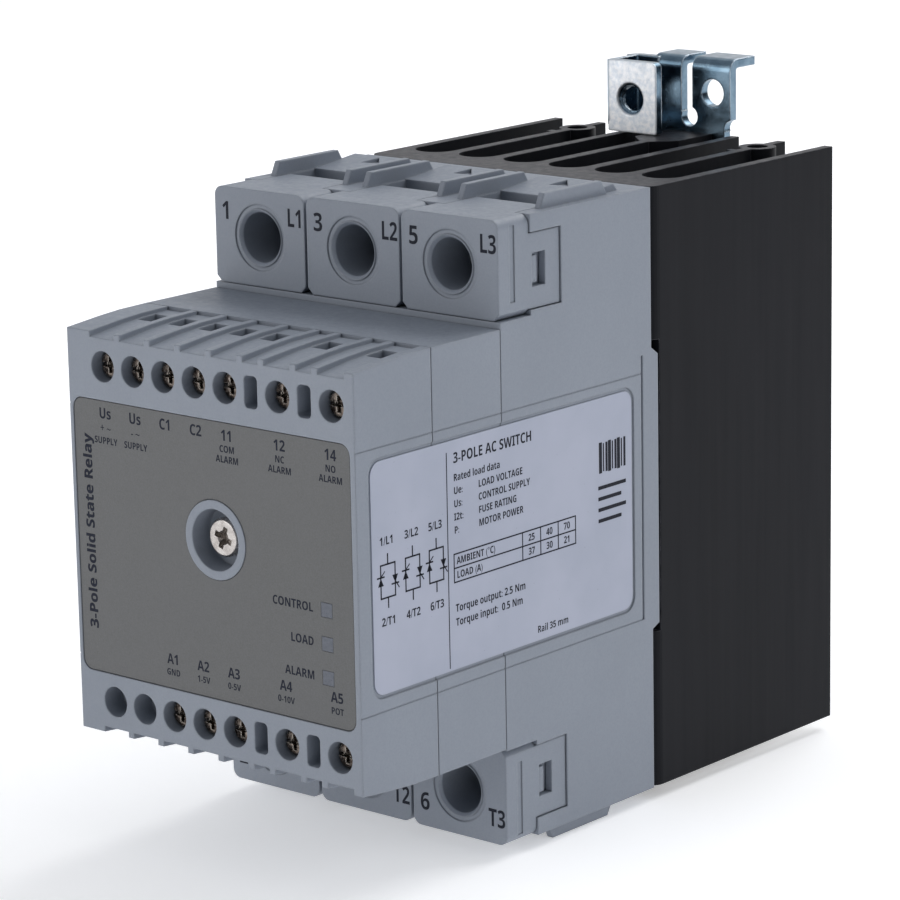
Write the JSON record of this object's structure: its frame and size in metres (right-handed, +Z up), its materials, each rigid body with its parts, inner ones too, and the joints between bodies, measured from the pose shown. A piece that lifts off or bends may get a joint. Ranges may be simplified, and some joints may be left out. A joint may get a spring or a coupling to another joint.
{
  "type": "solid state relay",
  "caption": "Three-pole solid state relay with screw terminals on a finned heatsink, held on a mounting rail by a hooked bracket and sprung latch.",
  "frame": {"origin": "middle of the rail seat: centred across the width, on the rear face of the raised pad that touches the rail, at mid height of the mounting rail", "axes": "+X to the right seen from the front, +Y backwards from the front face towards the rail, +Z up from the load terminals to the line terminals"},
  "size_m": [0.07, 0.1504, 0.1347],
  "materials": {
    "grey_housing": "fine matte moulded grain, light cool grey",
    "faceplate": "matte warm dark grey film",
    "label": "satin polyester label, bluish white",
    "light_pipe": "frosted clear plastic",
    "board": "green solder mask",
    "components": "black epoxy",
    "film_parts": "blue epoxy coating",
    "module_resin": "dark potting resin",
    "brass": "tinned brass strip",
    "copper": "bare copper",
    "black_anodised": "satin black anodised extrusion",
    "aluminium": "milled",
    "graphite": "graphite sheet",
    "zinc": "bright zinc plated sheet",
    "nickel_steel": "nickel plated",
    "dark_steel": "dark shiny plated screw"
  },
  "bodies": {
    "relay": {"front_cover": "grey_housing", "faceplate": "faceplate", "side_label": "label", "light_pipes": "light_pipe", "control_board": "board", "control_components": "components", "control_contacts": "brass", "mid_housing": "grey_housing", "centre_screw": "nickel_steel", "rear_housing": "grey_housing", "terminal_covers": "grey_housing", "clamp_frames": "zinc", "busbars": "copper", "thyristor_modules": "module_resin", "driver_board": "board", "driver_components": "film_parts", "base_plate": "aluminium", "thermal_pad": "graphite", "heatsink": "black_anodised", "fixing_screws": "zinc", "mounting_bracket": "zinc", "latch_rivets": "nickel_steel", "latch_spring": "nickel_steel"},
    "rail_latch": {"rail_latch": "zinc"},
    "ctl_screw_top1": {"ctl_screw_top1": "dark_steel"},
    "ctl_clamp_top1": {"ctl_clamp_top1": "zinc"},
    "ctl_screw_top2": {"ctl_screw_top2": "dark_steel"},
    "ctl_clamp_top2": {"ctl_clamp_top2": "zinc"},
    "ctl_screw_top3": {"ctl_screw_top3": "dark_steel"},
    "ctl_clamp_top3": {"ctl_clamp_top3": "zinc"},
    "ctl_screw_top4": {"ctl_screw_top4": "dark_steel"},
    "ctl_clamp_top4": {"ctl_clamp_top4": "zinc"},
    "ctl_screw_top5": {"ctl_screw_top5": "dark_steel"},
    "ctl_clamp_top5": {"ctl_clamp_top5": "zinc"},
    "ctl_screw_top6": {"ctl_screw_top6": "dark_steel"},
    "ctl_clamp_top6": {"ctl_clamp_top6": "zinc"},
    "ctl_screw_top7": {"ctl_screw_top7": "dark_steel"},
    "ctl_clamp_top7": {"ctl_clamp_top7": "zinc"},
    "ctl_screw_low3": {"ctl_screw_low3": "dark_steel"},
    "ctl_clamp_low3": {"ctl_clamp_low3": "zinc"},
    "ctl_screw_low4": {"ctl_screw_low4": "dark_steel"},
    "ctl_clamp_low4": {"ctl_clamp_low4": "zinc"},
    "ctl_screw_low5": {"ctl_screw_low5": "dark_steel"},
    "ctl_clamp_low5": {"ctl_clamp_low5": "zinc"},
    "ctl_screw_low6": {"ctl_screw_low6": "dark_steel"},
    "ctl_clamp_low6": {"ctl_clamp_low6": "zinc"},
    "ctl_screw_low7": {"ctl_screw_low7": "dark_steel"},
    "ctl_clamp_low7": {"ctl_clamp_low7": "zinc"},
    "pow_plate_l1": {"pow_plate_l1": "zinc"},
    "pow_screw_l1": {"pow_screw_l1": "nickel_steel"},
    "pow_plate_l2": {"pow_plate_l2": "zinc"},
    "pow_screw_l2": {"pow_screw_l2": "nickel_steel"},
    "pow_plate_l3": {"pow_plate_l3": "zinc"},
    "pow_screw_l3": {"pow_screw_l3": "nickel_steel"},
    "pow_plate_t1": {"pow_plate_t1": "zinc"},
    "pow_screw_t1": {"pow_screw_t1": "nickel_steel"},
    "pow_plate_t2": {"pow_plate_t2": "zinc"},
    "pow_screw_t2": {"pow_screw_t2": "nickel_steel"},
    "pow_plate_t3": {"pow_plate_t3": "zinc"},
    "pow_screw_t3": {"pow_screw_t3": "nickel_steel"}
  },
  "joints": [
    {"name": "rail_latch_slide", "type": "slide", "parent": "relay", "child": "rail_latch", "axis": [0, 0, -1], "range_m": [0, 0.0045], "stiffness_N_per_m": 1500, "springref_m": -0.002, "deforming": ["latch_spring"]},
    {"name": "ctl_screw_top1_turn", "type": "hinge", "parent": "relay", "child": "ctl_screw_top1", "pos_m": [-0.0261, -0.1414, 0.0313], "axis": [0, 1, 0], "range_deg": [0, 2376]},
    {"name": "ctl_clamp_top1_slide", "type": "slide", "parent": "relay", "child": "ctl_clamp_top1", "axis": [0, -1, 0], "range_m": [0, 0.0033]},
    {"name": "ctl_screw_top2_turn", "type": "hinge", "parent": "relay", "child": "ctl_screw_top2", "pos_m": [-0.01848, -0.1414, 0.0313], "axis": [0, 1, 0], "range_deg": [0, 2376]},
    {"name": "ctl_clamp_top2_slide", "type": "slide", "parent": "relay", "child": "ctl_clamp_top2", "axis": [0, -1, 0], "range_m": [0, 0.0033]},
    {"name": "ctl_screw_top3_turn", "type": "hinge", "parent": "relay", "child": "ctl_screw_top3", "pos_m": [-0.01086, -0.1414, 0.0313], "axis": [0, 1, 0], "range_deg": [0, 2376]},
    {"name": "ctl_clamp_top3_slide", "type": "slide", "parent": "relay", "child": "ctl_clamp_top3", "axis": [0, -1, 0], "range_m": [0, 0.0033]},
    {"name": "ctl_screw_top4_turn", "type": "hinge", "parent": "relay", "child": "ctl_screw_top4", "pos_m": [-0.00324, -0.1414, 0.0313], "axis": [0, 1, 0], "range_deg": [0, 2376]},
    {"name": "ctl_clamp_top4_slide", "type": "slide", "parent": "relay", "child": "ctl_clamp_top4", "axis": [0, -1, 0], "range_m": [0, 0.0033]},
    {"name": "ctl_screw_top5_turn", "type": "hinge", "parent": "relay", "child": "ctl_screw_top5", "pos_m": [0.00438, -0.1414, 0.0313], "axis": [0, 1, 0], "range_deg": [0, 2376]},
    {"name": "ctl_clamp_top5_slide", "type": "slide", "parent": "relay", "child": "ctl_clamp_top5", "axis": [0, -1, 0], "range_m": [0, 0.0033]},
    {"name": "ctl_screw_top6_turn", "type": "hinge", "parent": "relay", "child": "ctl_screw_top6", "pos_m": [0.01708, -0.1414, 0.0313], "axis": [0, 1, 0], "range_deg": [0, 2376]},
    {"name": "ctl_clamp_top6_slide", "type": "slide", "parent": "relay", "child": "ctl_clamp_top6", "axis": [0, -1, 0], "range_m": [0, 0.0033]},
    {"name": "ctl_screw_top7_turn", "type": "hinge", "parent": "relay", "child": "ctl_screw_top7", "pos_m": [0.02978, -0.1414, 0.0313], "axis": [0, 1, 0], "range_deg": [0, 2376]},
    {"name": "ctl_clamp_top7_slide", "type": "slide", "parent": "relay", "child": "ctl_clamp_top7", "axis": [0, -1, 0], "range_m": [0, 0.0033]},
    {"name": "ctl_screw_low3_turn", "type": "hinge", "parent": "relay", "child": "ctl_screw_low3", "pos_m": [-0.01086, -0.1414, -0.0321], "axis": [0, 1, 0], "range_deg": [0, 2376]},
    {"name": "ctl_clamp_low3_slide", "type": "slide", "parent": "relay", "child": "ctl_clamp_low3", "axis": [0, -1, 0], "range_m": [0, 0.0033]},
    {"name": "ctl_screw_low4_turn", "type": "hinge", "parent": "relay", "child": "ctl_screw_low4", "pos_m": [-0.00324, -0.1414, -0.0321], "axis": [0, 1, 0], "range_deg": [0, 2376]},
    {"name": "ctl_clamp_low4_slide", "type": "slide", "parent": "relay", "child": "ctl_clamp_low4", "axis": [0, -1, 0], "range_m": [0, 0.0033]},
    {"name": "ctl_screw_low5_turn", "type": "hinge", "parent": "relay", "child": "ctl_screw_low5", "pos_m": [0.00438, -0.1414, -0.0321], "axis": [0, 1, 0], "range_deg": [0, 2376]},
    {"name": "ctl_clamp_low5_slide", "type": "slide", "parent": "relay", "child": "ctl_clamp_low5", "axis": [0, -1, 0], "range_m": [0, 0.0033]},
    {"name": "ctl_screw_low6_turn", "type": "hinge", "parent": "relay", "child": "ctl_screw_low6", "pos_m": [0.01708, -0.1414, -0.0321], "axis": [0, 1, 0], "range_deg": [0, 2376]},
    {"name": "ctl_clamp_low6_slide", "type": "slide", "parent": "relay", "child": "ctl_clamp_low6", "axis": [0, -1, 0], "range_m": [0, 0.0033]},
    {"name": "ctl_screw_low7_turn", "type": "hinge", "parent": "relay", "child": "ctl_screw_low7", "pos_m": [0.02978, -0.1414, -0.0321], "axis": [0, 1, 0], "range_deg": [0, 2376]},
    {"name": "ctl_clamp_low7_slide", "type": "slide", "parent": "relay", "child": "ctl_clamp_low7", "axis": [0, -1, 0], "range_m": [0, 0.0033]},
    {"name": "pow_plate_l1_slide", "type": "slide", "parent": "relay", "child": "pow_plate_l1", "axis": [0, 1, 0], "range_m": [0, 0.0054]},
    {"name": "pow_screw_l1_turn", "type": "hinge", "parent": "pow_plate_l1", "child": "pow_screw_l1", "pos_m": [-0.02333, -0.0944, 0.0494], "axis": [0, 1, 0], "range_deg": [0, 1944]},
    {"name": "pow_plate_l2_slide", "type": "slide", "parent": "relay", "child": "pow_plate_l2", "axis": [0, 1, 0], "range_m": [0, 0.0054]},
    {"name": "pow_screw_l2_turn", "type": "hinge", "parent": "pow_plate_l2", "child": "pow_screw_l2", "pos_m": [0, -0.0944, 0.0494], "axis": [0, 1, 0], "range_deg": [0, 1944]},
    {"name": "pow_plate_l3_slide", "type": "slide", "parent": "relay", "child": "pow_plate_l3", "axis": [0, 1, 0], "range_m": [0, 0.0054]},
    {"name": "pow_screw_l3_turn", "type": "hinge", "parent": "pow_plate_l3", "child": "pow_screw_l3", "pos_m": [0.02333, -0.0944, 0.0494], "axis": [0, 1, 0], "range_deg": [0, 1944]},
    {"name": "pow_plate_t1_slide", "type": "slide", "parent": "relay", "child": "pow_plate_t1", "axis": [0, 1, 0], "range_m": [0, 0.0054]},
    {"name": "pow_screw_t1_turn", "type": "hinge", "parent": "pow_plate_t1", "child": "pow_screw_t1", "pos_m": [-0.02333, -0.0944, -0.0494], "axis": [0, 1, 0], "range_deg": [0, 1944]},
    {"name": "pow_plate_t2_slide", "type": "slide", "parent": "relay", "child": "pow_plate_t2", "axis": [0, 1, 0], "range_m": [0, 0.0054]},
    {"name": "pow_screw_t2_turn", "type": "hinge", "parent": "pow_plate_t2", "child": "pow_screw_t2", "pos_m": [0, -0.0944, -0.0494], "axis": [0, 1, 0], "range_deg": [0, 1944]},
    {"name": "pow_plate_t3_slide", "type": "slide", "parent": "relay", "child": "pow_plate_t3", "axis": [0, 1, 0], "range_m": [0, 0.0054]},
    {"name": "pow_screw_t3_turn", "type": "hinge", "parent": "pow_plate_t3", "child": "pow_screw_t3", "pos_m": [0.02333, -0.0944, -0.0494], "axis": [0, 1, 0], "range_deg": [0, 1944]}
  ],
  "couplings": [
    {"joint": "ctl_screw_top1_turn", "follows": "ctl_clamp_top1_slide", "rad_per_m": 12566},
    {"joint": "ctl_screw_top2_turn", "follows": "ctl_clamp_top2_slide", "rad_per_m": 12566},
    {"joint": "ctl_screw_top3_turn", "follows": "ctl_clamp_top3_slide", "rad_per_m": 12566},
    {"joint": "ctl_screw_top4_turn", "follows": "ctl_clamp_top4_slide", "rad_per_m": 12566},
    {"joint": "ctl_screw_top5_turn", "follows": "ctl_clamp_top5_slide", "rad_per_m": 12566},
    {"joint": "ctl_screw_top6_turn", "follows": "ctl_clamp_top6_slide", "rad_per_m": 12566},
    {"joint": "ctl_screw_top7_turn", "follows": "ctl_clamp_top7_slide", "rad_per_m": 12566},
    {"joint": "ctl_screw_low3_turn", "follows": "ctl_clamp_low3_slide", "rad_per_m": 12566},
    {"joint": "ctl_screw_low4_turn", "follows": "ctl_clamp_low4_slide", "rad_per_m": 12566},
    {"joint": "ctl_screw_low5_turn", "follows": "ctl_clamp_low5_slide", "rad_per_m": 12566},
    {"joint": "ctl_screw_low6_turn", "follows": "ctl_clamp_low6_slide", "rad_per_m": 12566},
    {"joint": "ctl_screw_low7_turn", "follows": "ctl_clamp_low7_slide", "rad_per_m": 12566},
    {"joint": "pow_screw_l1_turn", "follows": "pow_plate_l1_slide", "rad_per_m": 6283.2},
    {"joint": "pow_screw_l2_turn", "follows": "pow_plate_l2_slide", "rad_per_m": 6283.2},
    {"joint": "pow_screw_l3_turn", "follows": "pow_plate_l3_slide", "rad_per_m": 6283.2},
    {"joint": "pow_screw_t1_turn", "follows": "pow_plate_t1_slide", "rad_per_m": 6283.2},
    {"joint": "pow_screw_t2_turn", "follows": "pow_plate_t2_slide", "rad_per_m": 6283.2},
    {"joint": "pow_screw_t3_turn", "follows": "pow_plate_t3_slide", "rad_per_m": 6283.2}
  ]
}
